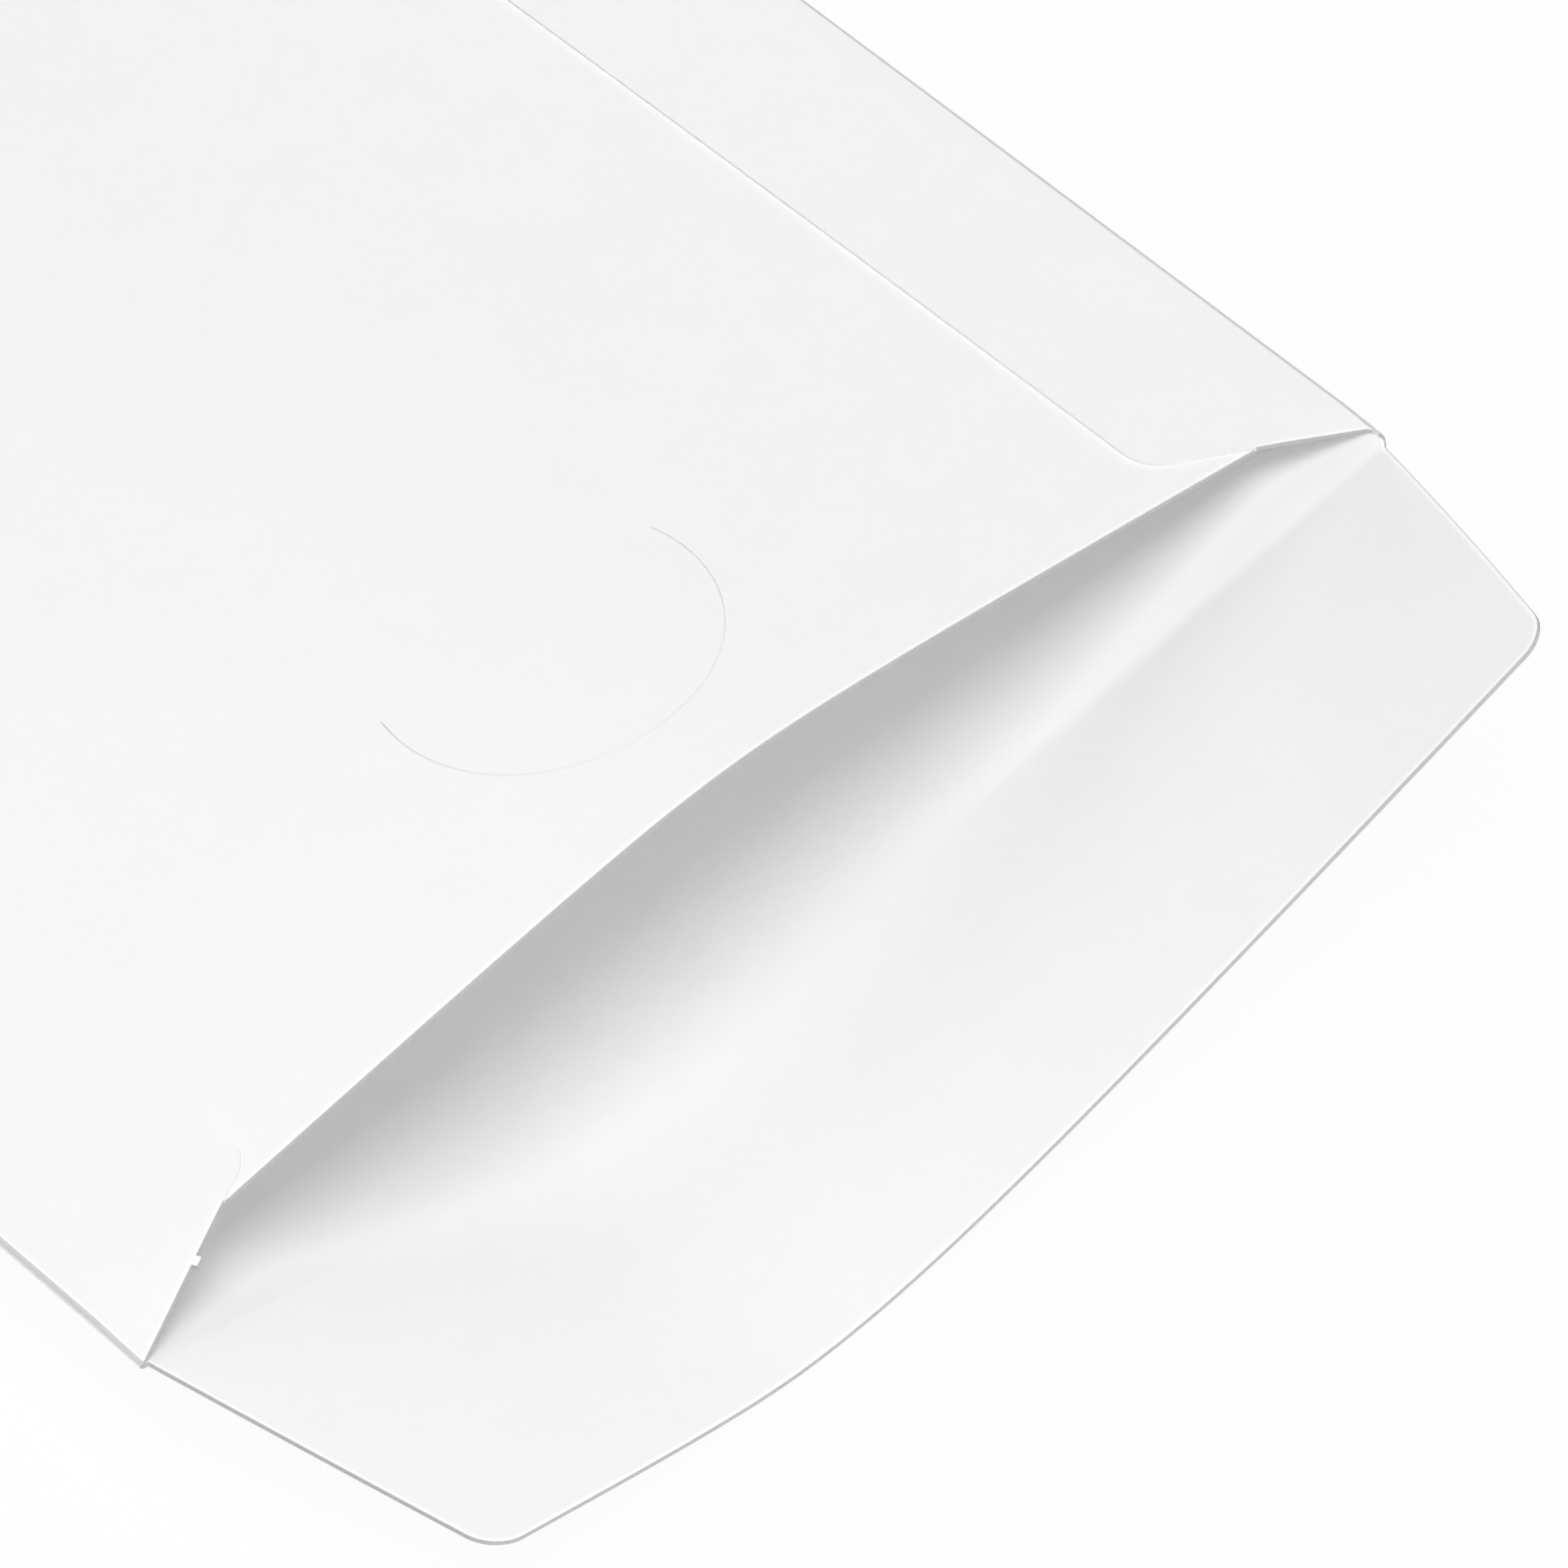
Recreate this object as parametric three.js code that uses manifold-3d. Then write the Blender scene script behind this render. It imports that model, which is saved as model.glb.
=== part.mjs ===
// Card sleeve for one compact disc, lying open on a table with its closure flap unfolded.
// It is one die-cut card blank, folded and glued: a back panel carries the closure flap, the
// two side flaps and, past the far fold, the top panel. The side flaps are glued down over the
// outside of the top panel. The open mouth gapes, so the back panel sags to the table and the
// top panel stands up in a soft ridge.
// Millimetres. x runs across the mouth, y from the closure flap to the far fold, z is up.

import * as THREE from 'three';
import { mergeVertices } from 'three/addons/utils/BufferGeometryUtils.js';
import Module from 'manifold-3d';

// Card and layers
const cardThickness = 0.35;
const pocketGap = 0.15; // air between the back and top panels at the folds
const glueThickness = 0.08; // glue between the top panel and a side flap
const glueBite = 0.06; // how far the glue soaks into each face

// Folded body
const sleeveWidth = 125; // over the two side folds
const sleeveLength = 125; // from the mouth score to the outside of the far fold
const throatSetback = 5.7; // the top panel's mouth edge lies this far inside the score
const panelClearance = 0.2; // top panel's side edge to the side fold

// Side flaps, glued over the top panel
const sideFlapWidth = 17.1;
const sideFlapEndTaper = 24; // degrees between an end edge and the mouth score
const sideFlapCornerRadius = 3.5;
const leftFlapSetback = 0.2; // score to the start of the end edge, at the side fold
const rightFlapSetback = 2.0;
const farFlapSetback = 1.5;
const glueMargin = 1.5; // a glue strip stays this far inside the flap's edges

// Nick left by the cutting die on the left flap's end edge
const nickWidth = 0.8;
const nickProud = 0.5;
const nickFromFold = 9.0;
const nickThickness = 0.8; // against the card, so that its faces lie inside the flap's

// Closure flap
const closureDepth = 27.2;
const closureTaper = 18.6; // degrees each side edge leans in
const closureCornerRadius = 3.4;

// Half-moon slit that catches the closure flap
const slitRadius = 13.6;
const slitFromScore = 26.6; // centre of the arc
const slitOverrun = 13; // degrees past a half circle at each end
const slitWidth = 0.14;

// Gape of the mouth
const cornerLift = 10.1; // mouth corners above the table
const ridgeRise = 9.7; // top panel's ridge above the mouth corners
const mouthDrawIn = 1.27; // each mouth corner is pulled in by the gape
const bellyOffset = -22; // line where the back panel touches the table
const bellyEase = 0.225; // share of the span over which the belly's bend is rounded
const ridgeEaseMouth = 0.155; // the same for the ridge, at the mouth
const ridgeEaseFar = 1.05; // and at the far fold
const closureLiftRight = 1.32; // growth of the lift from the score to the flap's outer edge
const closureLiftLeft = -0.14;
const bellyFlat = 1.2; // half width of the flat strip that lies on the table

// Mesh steps
const panelStep = 3.2;
const flapStep = 2.2;
const lengthSteps = 9;
const closureSteps = 4;
const foldSteps = 6;
const cornerSteps = 5;
const slitSteps = 36;
const stationClearance = 0.3; // share of a step that an extra station keeps from an even one
const slopeSpan = 1; // length over which the flap's slope is measured at the nick
const weldDistance = 1e-5; // points closer than this are one

const radians = THREE.MathUtils.degToRad;
const sideFoldRadius = (3 * cardThickness + pocketGap + glueThickness) / 2;
const farFoldRadius = (2 * cardThickness + pocketGap) / 2;
const flatHalf = sleeveWidth / 2 - sideFoldRadius; // middle line to a side fold's centre
const farFold = sleeveLength - farFoldRadius; // score to the far fold's centre
const flapReach = sideFlapWidth - sideFoldRadius;
const overallLength = sleeveLength + closureDepth;

// The gape's forms

// 0 at the centre and 1 at both ends of the span: two straight slopes with a rounded bend.
function easedSlope(u, centre, ease) {
  const v = (u - centre) / (u > centre ? 1 - centre : 1 + centre);
  return (Math.hypot(v, ease) - ease) / (Math.hypot(1, ease) - ease);
}

// Part of the gape that is left at y: all of it at the score, none at the far fold.
function gapeAt(y) {
  return 1 - Math.max(y, 0) / farFold;
}

// x of the point that lies s from the middle line in the flat blank.
function across(s, y) {
  return s * (1 - (mouthDrawIn / flatHalf) * gapeAt(y));
}

// Underside of the back panel and of the closure flap.
function backHeight(s, y) {
  const belly = bellyOffset / flatHalf;
  const u = s / flatHalf;
  const lift = cornerLift * easedSlope(u, belly, bellyEase);
  if (y >= 0) return lift * gapeAt(y);
  const growth = u > belly ? closureLiftRight : closureLiftLeft;
  return lift * (1 + (growth * -y) / closureDepth);
}

// Underside of the top panel.
function topHeight(s, y) {
  const ease = ridgeEaseMouth + ((ridgeEaseFar - ridgeEaseMouth) * y) / sleeveLength;
  const ridge = ridgeRise * (1 - easedSlope(s / flatHalf, 0, ease));
  return (cornerLift + ridge) * gapeAt(y) + cardThickness + pocketGap;
}

// Underside of a side flap, which lies on the glue.
function flapHeight(s, y) {
  return topHeight(s, y) + cardThickness + glueThickness;
}

// Outlines of the blank

// Length of the closure flap at a distance in from the side fold.
function closureReach(fromFold) {
  const taper = radians(closureTaper);
  const centre = closureCornerCentre();
  if (fromFold >= centre) return closureDepth;
  if (fromFold <= centre - closureCornerRadius * Math.cos(taper)) return fromFold / Math.tan(taper);
  const along = centre - fromFold;
  return closureDepth - closureCornerRadius + Math.sqrt(closureCornerRadius ** 2 - along ** 2);
}

// Distance in from the side fold to the centre of the closure flap's rounded corner.
function closureCornerCentre() {
  const taper = radians(closureTaper);
  const straight = closureDepth - closureCornerRadius;
  return (closureCornerRadius + straight * Math.sin(taper)) / Math.cos(taper);
}

// y of a side flap's end edge at a distance in from the side fold.
function flapEnd(fromFold, setback) {
  const taper = radians(sideFlapEndTaper);
  const straight = setback + fromFold * Math.tan(taper);
  const centre = flapReach - sideFlapCornerRadius;
  if (fromFold <= centre + sideFlapCornerRadius * Math.sin(taper)) return straight;
  const centreY = setback + centre * Math.tan(taper) + sideFlapCornerRadius / Math.cos(taper);
  const along = Math.min(fromFold - centre, sideFlapCornerRadius);
  return centreY - Math.sqrt(sideFlapCornerRadius ** 2 - along ** 2);
}

// Distances from 0 to the end, evenly spaced, with extra ones that bring their own spacing.
function stations(end, step, extra) {
  const count = Math.max(1, Math.round(end / step));
  const even = Array.from({ length: count + 1 }, (_, i) => (end * i) / count);
  const apart = (v) => extra.every((e) => Math.abs(e - v) > stationClearance * step);
  const clear = even.filter((v) => v === 0 || v === end || apart(v));
  return [...clear, ...extra.filter((e) => e > 0 && e < end)].sort((a, b) => a - b);
}

// Across the back panel: even steps, the closure flap's corners and the belly's flat strip.
function panelStations() {
  const centre = closureCornerCentre();
  const taper = radians(closureTaper);
  const corner = [];
  for (let i = 0; i <= cornerSteps; i++) {
    const turn = taper + ((Math.PI / 2 - taper) * i) / cornerSteps;
    corner.push(centre - closureCornerRadius * Math.cos(turn));
  }
  const middle = [flatHalf + bellyOffset - bellyFlat, flatHalf + bellyOffset + bellyFlat];
  const mirrored = corner.map((v) => 2 * flatHalf - v);
  return stations(2 * flatHalf, panelStep, [...corner, ...mirrored, ...middle]).map((v) => v - flatHalf);
}

// In from a side fold, across the side flap: even steps and the rounded inner corner.
function flapStations() {
  const taper = radians(sideFlapEndTaper);
  const centre = flapReach - sideFlapCornerRadius;
  const corner = [];
  for (let i = 0; i < cornerSteps; i++) {
    const turn = taper + ((Math.PI / 2 - taper) * i) / cornerSteps;
    corner.push(centre + sideFlapCornerRadius * Math.sin(turn));
  }
  return stations(flapReach, flapStep, corner);
}

// The card as a sheet with an outer and an inner face, walled along its free edges

class Sheet {
  constructor() {
    this.outer = [];
    this.inner = [];
    this.triangles = [];
  }

  point(outer, inner) {
    this.inner.push(inner);
    return this.outer.push(outer) - 1;
  }

  // Joins the points of rows of equal length. Points that are shared leave out a triangle.
  weave(columns) {
    for (let k = 0; k + 1 < columns.length; k++) {
      for (let j = 0; j + 1 < columns[k].length; j++) {
        const [a, b] = [columns[k][j], columns[k][j + 1]];
        const [d, c] = [columns[k + 1][j], columns[k + 1][j + 1]];
        this.triangle(a, b, c);
        this.triangle(a, c, d);
      }
    }
  }

  triangle(a, b, c) {
    if (a !== b && b !== c && c !== a) this.triangles.push([a, b, c]);
  }

  // Closed geometry: both faces, and a wall on every edge that only one triangle uses.
  geometry() {
    const edges = new Set();
    for (const [a, b, c] of this.triangles) {
      for (const [from, to] of [[a, b], [b, c], [c, a]]) edges.add(`${from} ${to}`);
    }
    const shift = this.outer.length;
    const index = [];
    for (const [a, b, c] of this.triangles) {
      index.push(a, b, c, shift + a, shift + c, shift + b);
      for (const [from, to] of [[a, b], [b, c], [c, a]]) {
        if (edges.has(`${to} ${from}`)) continue;
        index.push(to, from, shift + from, to, shift + from, shift + to);
      }
    }
    const geometry = new THREE.BufferGeometry().setFromPoints([...this.outer, ...this.inner]);
    geometry.setIndex(index);
    return geometry;
  }
}

// Even positions from one value to another.
function spread(from, to, steps) {
  return Array.from({ length: steps + 1 }, (_, i) => from + ((to - from) * i) / steps);
}

// One column of a side flap or side fold, from its mouth end to its far end.
function lengthwise(sheet, near, far, pointsAt) {
  return spread(near, far, lengthSteps).map((y) => sheet.point(...pointsAt(y)));
}

// Side: -1 is the left side flap, 1 the right one.
function flapColumns(sheet, side, setback) {
  return flapStations().map((fromFold) => {
    const s = side * (flatHalf - fromFold);
    const far = sleeveLength - flapEnd(fromFold, farFlapSetback);
    return lengthwise(sheet, flapEnd(fromFold, setback), far, (y) => {
      const x = across(s, y);
      const z = flapHeight(s, y);
      return [new THREE.Vector3(x, y, z + cardThickness), new THREE.Vector3(x, y, z)];
    });
  });
}

// Columns of a side fold between the back panel and the side flap, both left out.
function foldColumns(sheet, side, setback) {
  return spread(-Math.PI / 2, Math.PI / 2, foldSteps).slice(1, -1).map((turn, i) => {
    const share = (i + 1) / foldSteps;
    const near = setback * share;
    const far = farFold + (sleeveLength - farFlapSetback - farFold) * share;
    return lengthwise(sheet, near, far, (y) => {
      const centreX = across(side * flatHalf, y);
      const centreZ = backHeight(side * flatHalf, y) + sideFoldRadius;
      return [sideFoldRadius, sideFoldRadius - cardThickness].map(
        (r) => new THREE.Vector3(centreX + side * r * Math.cos(turn), y, centreZ + r * Math.sin(turn)),
      );
    });
  });
}

// The whole folded blank: closure flap, back panel, side folds and flaps, far fold, top panel.
function foldedBlank() {
  const sheet = new Sheet();
  const across0 = panelStations();
  const back = across0.map((s) =>
    lengthwise(sheet, 0, farFold, (y) => {
      const x = across(s, y);
      const z = backHeight(s, y);
      return [new THREE.Vector3(x, y, z), new THREE.Vector3(x, y, z + cardThickness)];
    }),
  );
  const [leftSide, rightSide] = [
    [-1, leftFlapSetback],
    [1, rightFlapSetback],
  ].map(([side, setback]) => [...foldColumns(sheet, side, setback), ...flapColumns(sheet, side, setback)]);
  sheet.weave([...leftSide.reverse(), ...back, ...rightSide]);

  const closure = across0.map((s, k) => {
    const reach = closureReach(flatHalf - Math.abs(s));
    const score = back[k][0];
    const rows = spread(-reach, 0, closureSteps).slice(0, -1).map((y) => {
      if (reach === 0) return score;
      const x = across(s, y);
      const z = backHeight(s, y);
      return sheet.point(new THREE.Vector3(x, y, z), new THREE.Vector3(x, y, z + cardThickness));
    });
    return [...rows, score];
  });
  sheet.weave(closure);

  const panelShare = (flatHalf - panelClearance) / flatHalf;
  const top = across0.map((s, k) => {
    const turned = spread(-Math.PI / 2, Math.PI / 2, foldSteps).slice(1, -1).map((turn) => {
      const faces = [farFoldRadius, farFoldRadius - cardThickness].map((r) => {
        const y = farFold + r * Math.cos(turn);
        return new THREE.Vector3(s * panelShare, y, farFoldRadius + r * Math.sin(turn));
      });
      return sheet.point(...faces);
    });
    const rows = spread(farFold, throatSetback, lengthSteps).map((y) => {
      const x = across(s * panelShare, y);
      const z = topHeight(s * panelShare, y);
      return sheet.point(new THREE.Vector3(x, y, z + cardThickness), new THREE.Vector3(x, y, z));
    });
    return [back[k].at(-1), ...turned, ...rows];
  });
  sheet.weave(top);
  return sheet.geometry();
}

// Glue film between the top panel and one side flap, soaked a little into both.
function glueStrip(side, setback) {
  const sheet = new Sheet();
  const near = Math.max(flapEnd(flapReach, setback), throatSetback) + glueMargin;
  const far = sleeveLength - flapEnd(flapReach, farFlapSetback) - glueMargin;
  const places = spread(glueMargin, flapReach - glueMargin, Math.round(flapReach / flapStep));
  const columns = places.map((fromFold) => {
    const s = side * (flatHalf - fromFold);
    return lengthwise(sheet, near, far, (y) => {
      const x = across(s, y);
      const z = flapHeight(s, y);
      return [
        new THREE.Vector3(x, y, z + glueBite),
        new THREE.Vector3(x, y, z - glueThickness - glueBite),
      ];
    });
  });
  sheet.weave(side < 0 ? columns.reverse() : columns);
  return sheet.geometry();
}

// Curved blade of the slitting knife, as deep as the gape lets it be without reaching the back.
function slitBlade() {
  const from = -Math.PI - radians(slitOverrun);
  const to = radians(slitOverrun);
  const outline = new THREE.Shape();
  outline.absarc(0, slitFromScore, slitRadius + slitWidth / 2, from, to, false);
  outline.absarc(0, slitFromScore, slitRadius - slitWidth / 2, to, from, true);
  const base = (backHeight(slitRadius, slitFromScore) + topHeight(slitRadius, slitFromScore)) / 2;
  const depth = cornerLift + ridgeRise;
  const blade = new THREE.ExtrudeGeometry(outline, { depth, bevelEnabled: false, curveSegments: slitSteps });
  return blade.scale(across(1, slitFromScore), 1, 1).translate(0, 0, base);
}

// Nick on the left flap's end edge, a tab of card a little thinner than the sheet.
function nick() {
  const y = flapEnd(nickFromFold, leftFlapSetback);
  const s = nickFromFold - flatHalf;
  const bite = nickProud;
  const tab = new THREE.BoxGeometry(nickWidth, nickProud + bite, nickThickness * cardThickness);
  const rise = flapHeight(s + slopeSpan, y) - flapHeight(s, y);
  const slope = Math.atan2(rise, across(s + slopeSpan, y) - across(s, y));
  tab.rotateZ(radians(sideFlapEndTaper)).rotateY(-slope);
  const height = flapHeight(s, y) + cardThickness / 2;
  return tab.translate(across(s, y), y + (bite - nickProud) / 2, height);
}

// Booleans

const wasm = await Module();
wasm.setup();

function solid(geometry) {
  const bare = geometry.clone();
  bare.deleteAttribute('normal');
  bare.deleteAttribute('uv');
  const merged = mergeVertices(bare, weldDistance);
  return new wasm.Manifold(
    new wasm.Mesh({
      numProp: 3,
      vertProperties: merged.attributes.position.array,
      triVerts: new Uint32Array(merged.index.array),
    }),
  );
}

function geometryOf(manifold) {
  const mesh = manifold.getMesh();
  const geometry = new THREE.BufferGeometry();
  geometry.setAttribute('position', new THREE.BufferAttribute(mesh.vertProperties, 3));
  geometry.setIndex(new THREE.BufferAttribute(mesh.triVerts, 1));
  geometry.computeVertexNormals();
  return geometry;
}

const glued = solid(foldedBlank())
  .add(solid(glueStrip(-1, leftFlapSetback)))
  .add(solid(glueStrip(1, rightFlapSetback)))
  .add(solid(nick()))
  .subtract(solid(slitBlade()));

// White card, uncoated
const card = new THREE.MeshStandardMaterial({ color: 0xf3f3f2, roughness: 0.85, metalness: 0 });
const sleeve = new THREE.Mesh(geometryOf(glued), card);
sleeve.name = 'sleeve';

// The origin is on the table, under the middle of the sleeve with its flap.
sleeve.position.y = overallLength / 2 - sleeveLength;

const group = new THREE.Group();
group.add(sleeve);

export default group;
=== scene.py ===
import math

import bmesh
import bpy
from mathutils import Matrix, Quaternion, Vector


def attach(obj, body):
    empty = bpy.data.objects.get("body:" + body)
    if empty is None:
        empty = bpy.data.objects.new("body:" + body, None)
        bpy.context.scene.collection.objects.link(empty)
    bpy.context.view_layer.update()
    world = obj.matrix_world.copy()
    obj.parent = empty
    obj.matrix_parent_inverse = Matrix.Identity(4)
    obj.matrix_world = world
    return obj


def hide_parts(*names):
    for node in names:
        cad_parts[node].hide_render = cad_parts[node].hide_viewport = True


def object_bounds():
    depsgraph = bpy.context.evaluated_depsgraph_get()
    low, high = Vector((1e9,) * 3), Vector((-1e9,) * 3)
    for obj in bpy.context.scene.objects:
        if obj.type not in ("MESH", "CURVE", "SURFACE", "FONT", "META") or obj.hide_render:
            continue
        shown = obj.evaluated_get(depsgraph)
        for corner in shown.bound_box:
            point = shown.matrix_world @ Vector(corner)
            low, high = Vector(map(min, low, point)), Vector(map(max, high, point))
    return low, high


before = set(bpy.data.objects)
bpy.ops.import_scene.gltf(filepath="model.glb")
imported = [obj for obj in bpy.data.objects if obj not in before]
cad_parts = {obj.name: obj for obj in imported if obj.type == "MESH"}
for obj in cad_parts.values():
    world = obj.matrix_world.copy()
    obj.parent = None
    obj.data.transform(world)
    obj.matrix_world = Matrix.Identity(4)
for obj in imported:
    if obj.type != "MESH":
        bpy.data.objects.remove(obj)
cad_low, cad_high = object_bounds()
bpy.ops.object.select_all(action="DESELECT")


# Die-cut blank
# One piece of smooth white board, 0.35 mm thick. It is drawn flat, as the cutting die sees it:
# back panel in the middle, closure flap below, a glue flap on each side, top panel above.
mm = 0.001
card_thickness = 0.35 * mm
pocket_gap = 0.15 * mm
glue_thickness = 0.08 * mm
sleeve_width = 125 * mm
sleeve_length = 125 * mm
throat_setback = 5.7 * mm
panel_clearance = 0.2 * mm
side_flap_width = 17.1 * mm
flap_end_taper = math.radians(24)
flap_corner_radius = 3.5 * mm
flap_setbacks = {-1: 0.2 * mm, 1: 2.0 * mm}
far_flap_setback = 1.5 * mm
closure_depth = 27.2 * mm
closure_taper = math.radians(18.6)
closure_corner_radius = 3.4 * mm
corner_segments = 10

side_fold_radius = (3 * card_thickness + pocket_gap + glue_thickness) / 2
far_fold_radius = (2 * card_thickness + pocket_gap) / 2
side_fold_arc = math.pi * side_fold_radius
far_fold_arc = math.pi * far_fold_radius
flat_half = sleeve_width / 2 - side_fold_radius
far_fold = sleeve_length - far_fold_radius
flap_reach = side_flap_width - side_fold_radius
near = 0.01 * mm


def pick(kind, test):
    """Selects, in edit mode, each vertex, edge or face whose middle passes the test."""
    bpy.ops.mesh.select_mode(type=kind)
    bpy.ops.mesh.select_all(action="DESELECT")
    mesh = bmesh.from_edit_mesh(bpy.context.object.data)
    for part in {"VERT": mesh.verts, "EDGE": mesh.edges, "FACE": mesh.faces}[kind]:
        corners = [part.co] if kind == "VERT" else [v.co for v in part.verts]
        if test(sum(corners, Vector()) / len(corners)):
            part.select_set(True)
    bmesh.update_edit_mesh(bpy.context.object.data)


def at(x, y):
    """A test for pick: the place is x, y on the flat blank."""
    return lambda p: abs(p.x - x) < near and abs(p.y - y) < near


def extrude(x, y):
    """Draws the selected edges out by x, y."""
    bpy.ops.mesh.extrude_region_move(TRANSFORM_OT_translate={"value": (x, y, 0)})


def round_corner(x, y, radius, inner_angle):
    """Rounds the blank's corner at x, y."""
    pick("VERT", at(x, y))
    cut = radius / math.tan(inner_angle / 2)
    bpy.ops.mesh.bevel(affect="VERTICES", offset=cut, segments=corner_segments, profile=0.5)


bpy.ops.mesh.primitive_plane_add(size=1)
sleeve = bpy.context.object
sleeve.name = "card_sleeve"
sleeve.data.name = "card_sleeve"
bpy.ops.object.mode_set(mode="EDIT")
bpy.ops.mesh.select_all(action="SELECT")
bpy.ops.transform.resize(value=(2 * flat_half, far_fold, 1))
bpy.ops.transform.translate(value=(0, far_fold / 2, 0))

# Closure flap, tapered and with its two outer corners rounded
closure_half = flat_half - closure_depth * math.tan(closure_taper)
pick("EDGE", at(0, 0))
extrude(0, -closure_depth)
bpy.ops.transform.resize(value=(closure_half / flat_half, 1, 1))
for side in (-1, 1):
    corner_angle = math.pi / 2 + closure_taper
    round_corner(side * closure_half, -closure_depth, closure_corner_radius, corner_angle)

# Top panel past the far fold
pick("EDGE", at(0, far_fold))
extrude(0, far_fold_arc)
bpy.ops.transform.resize(value=(1 - panel_clearance / flat_half, 1, 1))
extrude(0, far_fold - throat_setback)

# Side folds and glue flaps
flap_slant = flap_reach * math.tan(flap_end_taper)
flap_far = sleeve_length - far_flap_setback
for side in (-1, 1):
    fold_x = side * (flat_half + side_fold_arc)
    flap_x = fold_x + side * flap_reach
    flap_near = flap_setbacks[side]
    pick("EDGE", at(side * flat_half, far_fold / 2))
    extrude(side * side_fold_arc, 0)
    pick("VERT", at(fold_x, 0))
    bpy.ops.transform.translate(value=(0, flap_near, 0))
    pick("VERT", at(fold_x, far_fold))
    bpy.ops.transform.translate(value=(0, flap_far - far_fold, 0))
    pick("EDGE", at(fold_x, (flap_near + flap_far) / 2))
    extrude(side * flap_reach, 0)
    pick("VERT", at(flap_x, flap_near))
    bpy.ops.transform.translate(value=(0, flap_slant, 0))
    pick("VERT", at(flap_x, flap_far))
    bpy.ops.transform.translate(value=(0, -flap_slant, 0))
    corner_angle = math.pi / 2 + flap_end_taper
    for y in (flap_near + flap_slant, flap_far - flap_slant):
        round_corner(flap_x, y, flap_corner_radius, corner_angle)

# Nick of card that the die left standing on the left flap's end edge
nick_width = 0.8 * mm
nick_proud = 0.45 * mm
nick_from_fold = 7.7 * mm
nick_x = -(flat_half + side_fold_arc + nick_from_fold)
nick_y = flap_setbacks[-1] + nick_from_fold * math.tan(flap_end_taper)
for x in (nick_x - nick_width / 2, nick_x + nick_width / 2):
    pick("FACE", lambda p: p.x < -flat_half - side_fold_arc)
    bpy.ops.mesh.bisect(plane_co=(x, 0, 0), plane_no=(1, 0, 0))
pick("EDGE", at(nick_x, nick_y))
extrude(-nick_proud * math.sin(flap_end_taper), -nick_proud * math.cos(flap_end_taper))

# Rims along every cut edge: a dark hairline of painted shade, and beside it a bright band of painted
# highlight
slots = range(6)
# Slots: plain board; painted shade on the seams' cut faces; painted highlight rim; painted shade
# hairline; painted shade on cut faces; painted shade band on the side folds.
BOARD, SHADED_SEAM_FACE, HIGHLIGHT_RIM, SHADE_HAIRLINE, SHADED_CUT_FACE, FOLD_SHADE = slots
shade_hairline_width = 0.06 * mm
highlight_width = 0.28 * mm


def paint(finish):
    """Gives the selected faces a finish."""
    sleeve.active_material_index = finish
    bpy.ops.object.material_slot_assign()


for _ in slots:
    bpy.ops.object.material_slot_add()
bpy.ops.mesh.select_mode(type="FACE")
bpy.ops.mesh.select_all(action="SELECT")
paint(SHADE_HAIRLINE)
bpy.ops.mesh.inset(use_boundary=True, use_even_offset=True, thickness=shade_hairline_width)
paint(HIGHLIGHT_RIM)
bpy.ops.mesh.inset(use_boundary=True, use_even_offset=True, thickness=highlight_width)
paint(BOARD)


# Score lines and bending lines
# The board is cut up evenly so that it can bend, closely where it turns round a fold or
# rises along the score of the closure flap.
bend_step = 2.0 * mm
fold_cuts = 8
score_cuts = [offset * mm for offset in (-1.2, -0.8, -0.5, -0.25, 0.25, 0.5, 0.8, 1.2)]


def cut_lines(start, end, step):
    """Evenly spaced places between start and end, both left out."""
    count = max(1, round(abs(end - start) / step))
    return [start + (end - start) * i / count for i in range(1, count)]


cuts_x = cut_lines(-flat_half, flat_half, bend_step)
for side in (-1, 1):
    fold_x = side * (flat_half + side_fold_arc)
    cuts_x += cut_lines(side * flat_half, fold_x, side_fold_arc / fold_cuts)
    cuts_x += cut_lines(fold_x, fold_x + side * flap_reach, bend_step)
top_start = far_fold + far_fold_arc
cuts_y = cut_lines(-closure_depth, score_cuts[0], bend_step) + score_cuts
cuts_y += cut_lines(score_cuts[-1], far_fold, bend_step)
cuts_y += cut_lines(far_fold, top_start, far_fold_arc / fold_cuts)
cuts_y += cut_lines(top_start, top_start + far_fold - throat_setback, bend_step)
for places, normal in ((cuts_x, Vector((1, 0, 0))), (cuts_y, Vector((0, 1, 0)))):
    for place in places:
        bpy.ops.mesh.select_all(action="SELECT")
        bpy.ops.mesh.bisect(plane_co=place * normal, plane_no=normal)

# The flaps have no painted highlight rim along the glued seams. Each side fold gets a band of
# painted shade, with a line of painted highlight above.
fold_shade_start = 0.6
fold_shade_end = 0.86
for side in (-1, 1):
    fold_x = flat_half + side_fold_arc
    glued_x = fold_x + (throat_setback - flap_setbacks[side]) / math.tan(flap_end_taper)
    pick("FACE", lambda p: side * p.x > glued_x)
    paint(BOARD)
    fold_shade_x = flat_half + fold_shade_start * side_fold_arc
    highlight_x = flat_half + fold_shade_end * side_fold_arc
    pick("FACE", lambda p: fold_shade_x < side * p.x < highlight_x)
    paint(FOLD_SHADE)
    pick("FACE", lambda p: highlight_x < side * p.x < fold_x)
    paint(HIGHLIGHT_RIM)
bpy.ops.object.mode_set(mode="OBJECT")


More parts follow.
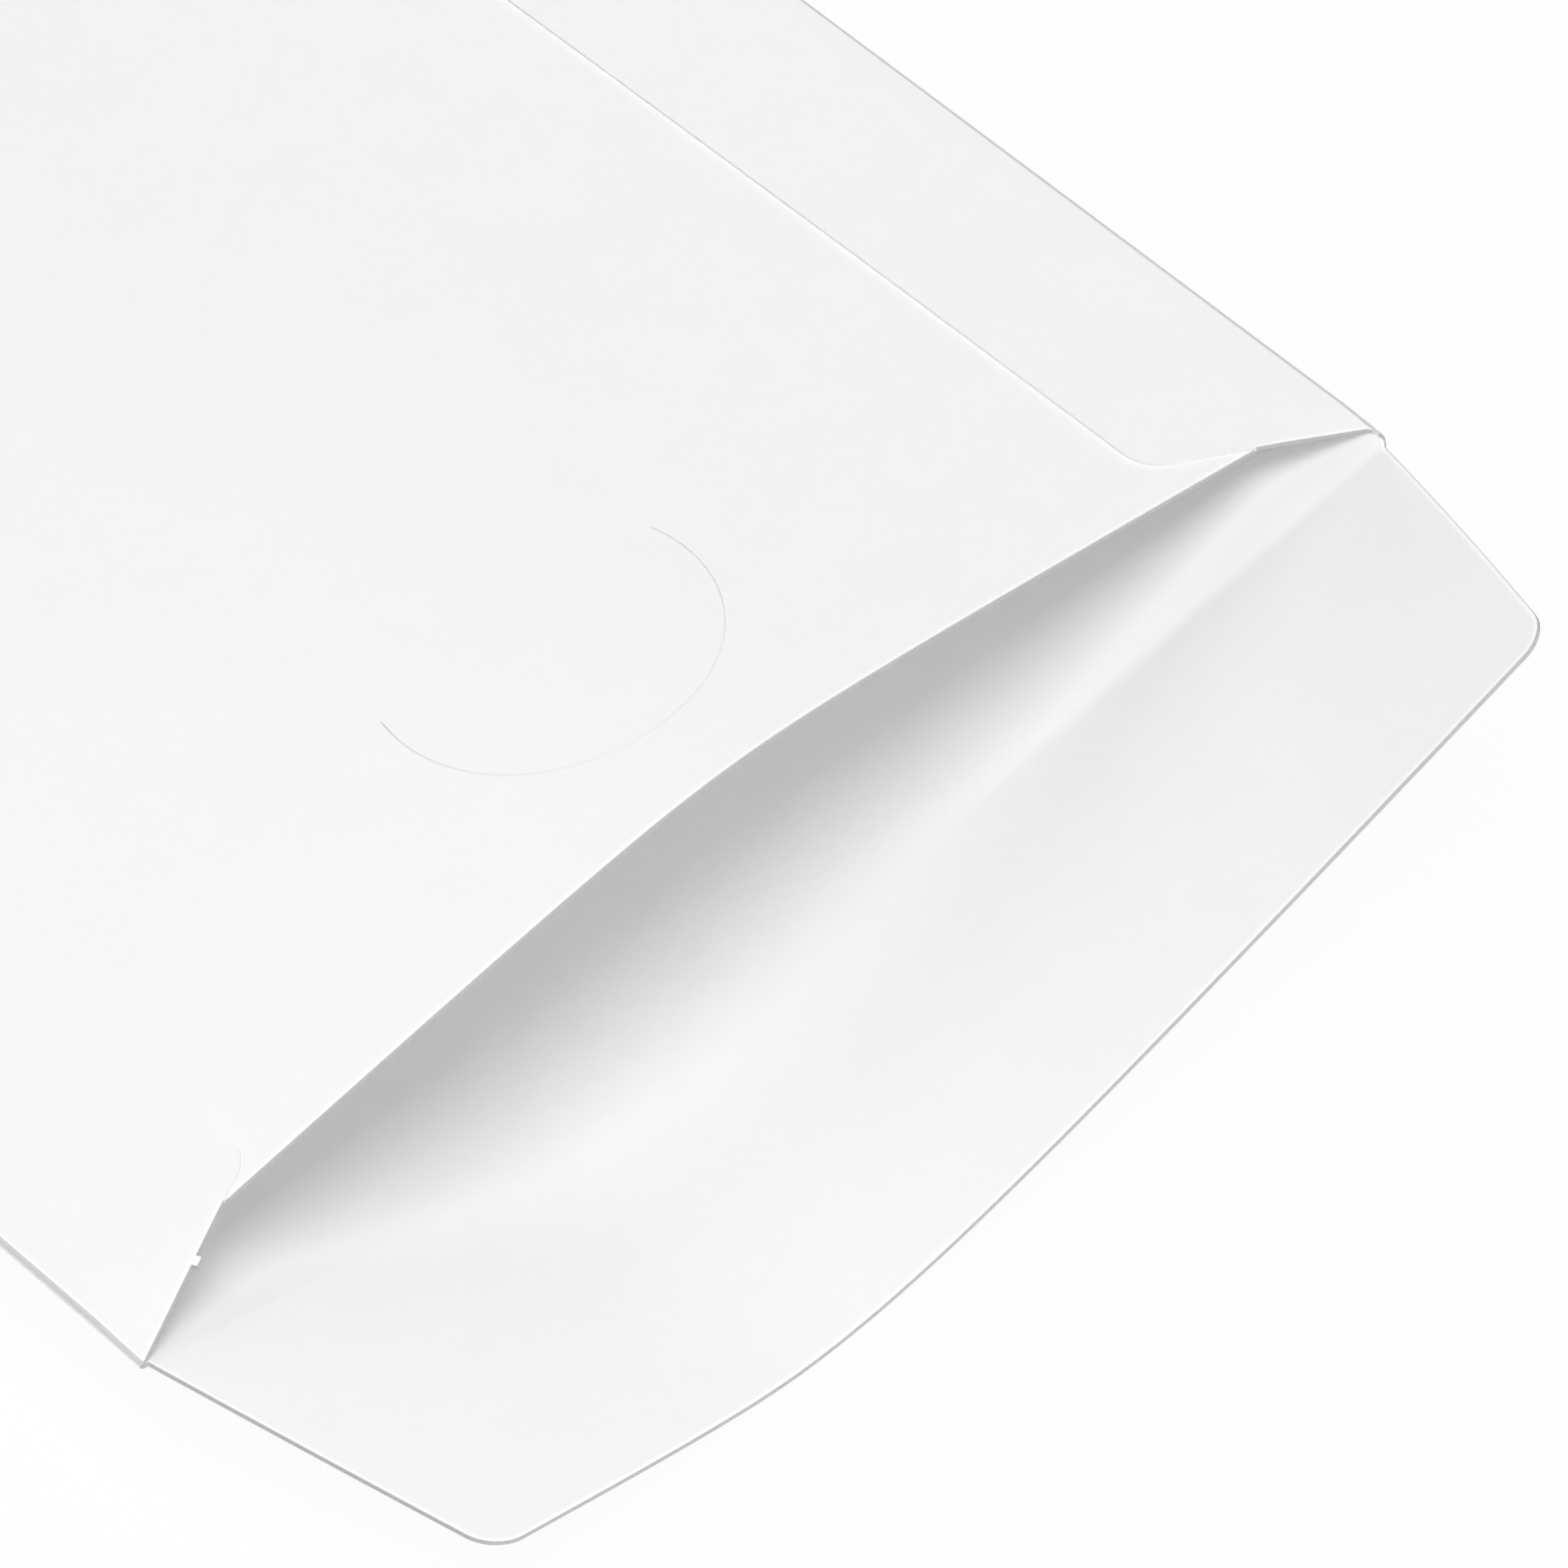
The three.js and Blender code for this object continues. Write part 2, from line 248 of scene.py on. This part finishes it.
# Folded and gaping sleeve
# The mouth gapes: the back panel sags to the table left of the middle, the top panel stands
# in a soft ridge that fades to the far fold, and the flap's right corner curls up.
corner_lift = 10.1 * mm
ridge_rise = 9.7 * mm
mouth_draw_in = 1.27 * mm
belly_offset = -22 * mm
belly_ease = 0.225
ridge_ease_mouth = 0.155
ridge_ease_far = 1.05
closure_lift_right = 1.32
closure_lift_left = -0.14
score_height = 0.02 * mm
score_half_width = 0.35 * mm
score_line = cad_low.y + closure_depth
flap_press = 0.19 * mm
corner_pinch = 0.55 * mm
pinch_start = 0.5 * mm
pinch_end = 5.6 * mm


def eased_slope(u, centre, ease):
    """0 at the centre, 1 at both ends of the span: two slopes with a rounded bend."""
    v = (u - centre) / (1 - centre if u > centre else 1 + centre)
    return (math.hypot(v, ease) - ease) / (math.hypot(1, ease) - ease)


def gape_at(y):
    """The part of the gape that is left at y."""
    return 1 - max(y, 0) / far_fold


def pinch(y):
    """How much flatter the glued side flaps lie: most near the mouth, with no panel between."""
    share = min(1, max(0, (pinch_end - y) / (pinch_end - pinch_start)))
    return flap_press + (corner_pinch - flap_press) * share * share * (3 - 2 * share)


def across(s, y):
    """Where the point that lies s from the middle line of the blank comes to lie."""
    return s * (1 - mouth_draw_in / flat_half * gape_at(y))


def back_height(s, y):
    """Underside of the back panel and of the closure flap."""
    belly = belly_offset / flat_half
    u = s / flat_half
    lift = corner_lift * eased_slope(u, belly, belly_ease)
    if y >= 0:
        return lift * gape_at(y)
    growth = closure_lift_right if u > belly else closure_lift_left
    return lift * (1 - growth * y / closure_depth)


def top_height(s, y):
    """Underside of the top panel."""
    ease = ridge_ease_mouth + (ridge_ease_far - ridge_ease_mouth) * y / sleeve_length
    ridge = ridge_rise * (1 - eased_slope(s / flat_half, 0, ease))
    return (corner_lift + ridge) * gape_at(y) + card_thickness + pocket_gap


def folded(x, y):
    """Where a point of the flat blank's outer face comes to lie."""
    side = math.copysign(1, x)
    past_side = abs(x) - flat_half
    past_far = y - far_fold
    if past_far > far_fold_arc:
        along = far_fold - (past_far - far_fold_arc)
        return Vector((across(x, along), along, top_height(x, along) + card_thickness))
    if past_far > 0 and past_side <= 0:
        turn = past_far / far_fold_radius
        rise = far_fold_radius * (1 - math.cos(turn))
        return Vector((x, far_fold + far_fold_radius * math.sin(turn), rise))
    if past_side <= 0:
        score = score_height * math.exp(-((y / score_half_width) ** 2))
        return Vector((across(x, y), y, back_height(x, y) + score))
    edge = side * flat_half
    if past_side < side_fold_arc:
        turn = past_side / side_fold_radius
        out = side_fold_radius * math.sin(turn)
        rise = (side_fold_radius - pinch(y) / 2) * (1 - math.cos(turn))
        return Vector((across(edge, y) + side * out, y, back_height(edge, y) + rise))
    s = edge - side * (past_side - side_fold_arc)
    over = 2 * card_thickness + glue_thickness
    return Vector((across(s, y), y, top_height(s, y) + over - pinch(y)))


for vertex in sleeve.data.vertices:
    vertex.co = folded(vertex.co.x, vertex.co.y) + Vector((0, score_line, 0))


def modify(kind, **settings):
    """Adds a modifier to the sleeve and applies it."""
    modifier = sleeve.modifiers.new(kind.lower(), kind)
    for name, value in settings.items():
        setattr(modifier, name, value)
    bpy.ops.object.select_all(action="DESELECT")
    bpy.context.view_layer.objects.active = sleeve
    sleeve.select_set(True)
    bpy.ops.object.modifier_apply(modifier=modifier.name)


modify("SOLIDIFY", thickness=card_thickness, offset=1, use_even_offset=True, material_offset_rim=1)

# The cut edges are very slightly rounded, as a die leaves them
edge_rounding = 0.03 * mm
edge_angle = math.radians(60)
modify("BEVEL", width=edge_rounding, segments=1, limit_method="ANGLE", angle_limit=edge_angle)

# Half-moon slit, cut by a curved blade that stops above the back panel
slit_radius = 13.6 * mm
slit_from_score = 26.6 * mm
slit_overrun = math.radians(13)
slit_width = 0.045 * mm
slit_closing = 0.03 * mm
slit_steps = 64
weld_distance = 0.001 * mm
smooth_angle = math.radians(35)
blade_low = (back_height(slit_radius, slit_from_score) + top_height(slit_radius, slit_from_score)) / 2
blade_high = corner_lift + 2 * ridge_rise
slit_middle = Vector((0, score_line + slit_from_score, 0))
slit_end = slit_radius * Vector((math.cos(slit_overrun), math.sin(slit_overrun), 0))
blade_middle = Vector((0, 0, (blade_low + blade_high) / 2))
bpy.ops.mesh.primitive_plane_add(
    size=1, location=slit_middle + slit_end + blade_middle, rotation=(math.pi / 2, 0, slit_overrun)
)
blade = bpy.context.object
blade.scale = (slit_width, blade_high - blade_low, 1)
bpy.ops.object.transform_apply(location=True, rotation=True, scale=True)
bpy.ops.object.mode_set(mode="EDIT")
bpy.ops.mesh.select_all(action="SELECT")
bpy.ops.mesh.spin(
    steps=slit_steps, angle=math.pi + 2 * slit_overrun, center=slit_middle, axis=(0, 0, 1)
)
bpy.ops.mesh.select_all(action="SELECT")
bpy.ops.mesh.remove_doubles(threshold=weld_distance)
bpy.ops.mesh.normals_make_consistent(inside=False)

# The cut gapes a little at its two ends and is nearly shut towards the mouth
pick("VERT", lambda p: (p.xy - slit_middle.xy).length < slit_radius)
bpy.ops.transform.translate(value=(0, -slit_closing, 0))
bpy.ops.object.mode_set(mode="OBJECT")
modify("BOOLEAN", object=blade, operation="DIFFERENCE", solver="EXACT")
bpy.data.objects.remove(blade)

bpy.ops.object.shade_smooth_by_angle(angle=smooth_angle)
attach(sleeve, "root")
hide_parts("sleeve")


# Card
# Smooth white uncoated board: a faint cloudy formation, short fibres and a fine tooth. Cut
# faces and side folds carry painted shade in grey, and a rim of painted highlight runs beside them.
fibre_relief = 0.02 * mm

# Numbers of a Mix node's two colour inputs
mix_low, mix_high = 6, 7


class Socket:
    """A node's output. Sums and products of it are Math nodes."""

    def __init__(self, finish, output):
        self.finish, self.output = finish, output

    def math(self, operation, first, second):
        inputs = {0: first, 1: second}
        return self.finish.node("ShaderNodeMath", {"operation": operation}, inputs)["Value"]

    def __add__(self, other):
        return self.math("ADD", self, other)

    def __mul__(self, other):
        return self.math("MULTIPLY", self, other)

    __radd__ = __add__
    __rmul__ = __mul__


class Finish:
    """A material whose nodes are added by one method."""

    def __init__(self, name):
        self.material = bpy.data.materials.new(name)
        self.material.use_nodes = True
        self.tree = self.material.node_tree
        self.shader = self.tree.nodes["Principled BSDF"]

    def node(self, kind, settings, inputs):
        """Adds a node, its settings first, and gives its outputs by name."""
        made = self.tree.nodes.new(kind)
        for name, value in settings.items():
            setattr(made, name, value)
        for key, value in inputs.items():
            self.feed(made.inputs[key], value)
        shown = [output for output in made.outputs if output.enabled]
        return {output.name: Socket(self, output) for output in shown}

    def feed(self, socket, value):
        """Links a socket to another, or sets its value."""
        if isinstance(value, Socket):
            self.tree.links.new(value.output, socket)
        else:
            socket.default_value = value

    def noise(self, *, size, detail, seed):
        """Noise on the object's own coordinates, with patches of about that size."""
        place = self.node("ShaderNodeTexCoord", {}, {})["Object"]
        moved = self.node("ShaderNodeMapping", {}, {"Vector": place, "Location": (seed, seed, 0)})
        inputs = {"Vector": moved["Vector"], "Scale": 1 / size, "Detail": detail}
        return self.node("ShaderNodeTexNoise", {}, inputs)["Fac"]

    def mix(self, factor, low, high):
        """A colour between two."""
        inputs = {0: factor, mix_low: low, mix_high: high}
        return self.node("ShaderNodeMix", {"data_type": "RGBA"}, inputs)["Result"]

    def bump(self, height, strength):
        """A normal that follows the height of the board's fibres."""
        inputs = {"Height": height, "Strength": strength, "Distance": fibre_relief}
        return self.node("ShaderNodeBump", {}, inputs)["Normal"]


def grey(value):
    """A neutral colour."""
    return (value, value, value, 1)


board = Finish("white_board")
board_dark = grey(0.885)
board_bright = grey(0.925)
cloud = board.noise(size=7 * mm, detail=2, seed=0.3)
fibre = board.noise(size=0.9 * mm, detail=4, seed=0.7)
tooth = board.noise(size=0.22 * mm, detail=2, seed=1.1)
tone = cloud * 0.5 + fibre * 0.5
relief = board.bump(fibre * 0.6 + tooth * 0.4, strength=0.35)
board.feed(board.shader.inputs["Base Color"], board.mix(tone, board_dark, board_bright))
board.feed(board.shader.inputs["Roughness"], 0.55 + fibre * 0.25)
board.feed(board.shader.inputs["Normal"], relief)
board.feed(board.shader.inputs["Specular IOR Level"], 0.25)


def fibrous(name, dark, bright, roughness):
    """Board with short fibre noise between two tones: painted shade or painted highlight on rims and
    folds.
    """
    made = Finish(name)
    fibres = made.noise(size=0.15 * mm, detail=3, seed=0.2)
    made.feed(made.shader.inputs["Base Color"], made.mix(fibres, grey(dark), grey(bright)))
    made.feed(made.shader.inputs["Normal"], made.bump(fibres, strength=0.3))
    made.feed(made.shader.inputs["Roughness"], roughness)
    made.feed(made.shader.inputs["Specular IOR Level"], 0.2)
    return made


# Painted highlight: a near-white rim beside the cut edges and along the top of each side fold.
highlight_rim_finish = fibrous("painted_highlight_rim", dark=0.97, bright=1.0, roughness=0.5)
# Painted shade: dark grey on the hairline along each cut edge and on the cut faces.
cut = fibrous("painted_shade_cut_face", dark=0.44, bright=0.58, roughness=0.85)
# Painted shade: a grey band round each side fold.
fold_shade_finish = fibrous("painted_shade_fold", dark=0.60, bright=0.70, roughness=0.7)
# Painted shade: light grey on the cut faces along the glued flaps' seams.
seam_shade_finish = fibrous("painted_shade_seam_face", dark=0.78, bright=0.86, roughness=0.85)
finishes = {
    BOARD: board,
    SHADED_SEAM_FACE: seam_shade_finish,
    HIGHLIGHT_RIM: highlight_rim_finish,
    SHADE_HAIRLINE: cut,
    SHADED_CUT_FACE: cut,
    FOLD_SHADE: fold_shade_finish,
}
for slot, finish in finishes.items():
    sleeve.material_slots[slot].material = finish.material


# Table
# A plain white surface. The camera sees it nearly white, with the sleeve's shadow kept faint.
table_size = 12.0
table_gap = 0.02 * mm
table_tone = grey(0.98)
seen_tone = grey(0.99)
shadow_share = 0.05
bpy.ops.mesh.primitive_plane_add(size=table_size, location=(0, 0, -table_gap))
table = bpy.context.object
table.name = "table"
surface = Finish("table_surface")
surface.feed(surface.shader.inputs["Base Color"], table_tone)
surface.feed(surface.shader.inputs["Roughness"], 0.9)
surface.feed(surface.shader.inputs["Specular IOR Level"], 0.0)
path = surface.node("ShaderNodeLightPath", {}, {})
seen = path["Is Camera Ray"] + path["Is Glossy Ray"] + path["Is Transmission Ray"]
glow = surface.node("ShaderNodeEmission", {}, {"Color": seen_tone, "Strength": 1.0})["Emission"]
lit = Socket(surface, surface.shader.outputs["BSDF"])
mixed = surface.node("ShaderNodeMixShader", {}, {0: seen * (1 - shadow_share), 1: lit, 2: glow})
surface.feed(surface.tree.nodes["Material Output"].inputs["Surface"], mixed["Shader"])
table.data.materials.append(surface.material)


# Light
# An even white sky and four large soft lamps: overhead, in front, behind and on the left.
# Each lamp has its place and size in metres and its power in watts.
sky_strength = 0.185
world = bpy.data.worlds.new("studio")
bpy.context.scene.world = world
world.use_nodes = True
sky = world.node_tree.nodes["Background"]
sky.inputs["Color"].default_value = grey(1.0)
sky.inputs["Strength"].default_value = sky_strength
lamps = {
    "overhead": ((0, 0, 2.0), 1.6, 23.8),
    "front": ((0, -1.8, 1.0), 1.4, 21.0),
    "back": ((0, 1.8, 1.0), 1.4, 9.4),
    "left": ((-1.8, 0, 1.0), 1.4, 5.5),
}
for name, (place, size, power) in lamps.items():
    bpy.ops.object.light_add(type="AREA", location=place)
    lamp = bpy.context.object
    lamp.name = name
    lamp.data.shape = "SQUARE"
    lamp.data.size = size
    lamp.data.energy = power
    lamp.rotation_euler = (-lamp.location).to_track_quat("-Z", "Y").to_euler()


# Camera
# A long lens looks down on the open mouth from its left, as in the photo. The focal length and
# the picture's width are in pixels.
camera_azimuth = math.radians(-37.04)
camera_elevation = math.radians(52.12)
camera_roll = math.radians(-5.56)
camera_distance = 809.2 * mm
focal_length = 10782.5
picture_width = 1569
sensor_width = 36
target = Vector((11.5 * mm, score_line + 14.03 * mm, 0))
back = Vector((
    math.sin(camera_azimuth) * math.cos(camera_elevation),
    -math.cos(camera_azimuth) * math.cos(camera_elevation),
    math.sin(camera_elevation),
))
turn = (-back).to_track_quat("-Z", "Y") @ Quaternion((0, 0, 1), camera_roll)
bpy.ops.object.camera_add(location=target + camera_distance * back, rotation=turn.to_euler())
camera = bpy.context.object
camera.data.sensor_width = sensor_width
camera.data.lens = sensor_width * focal_length / picture_width
bpy.context.scene.camera = camera
bpy.context.scene.view_settings.view_transform = "Standard"
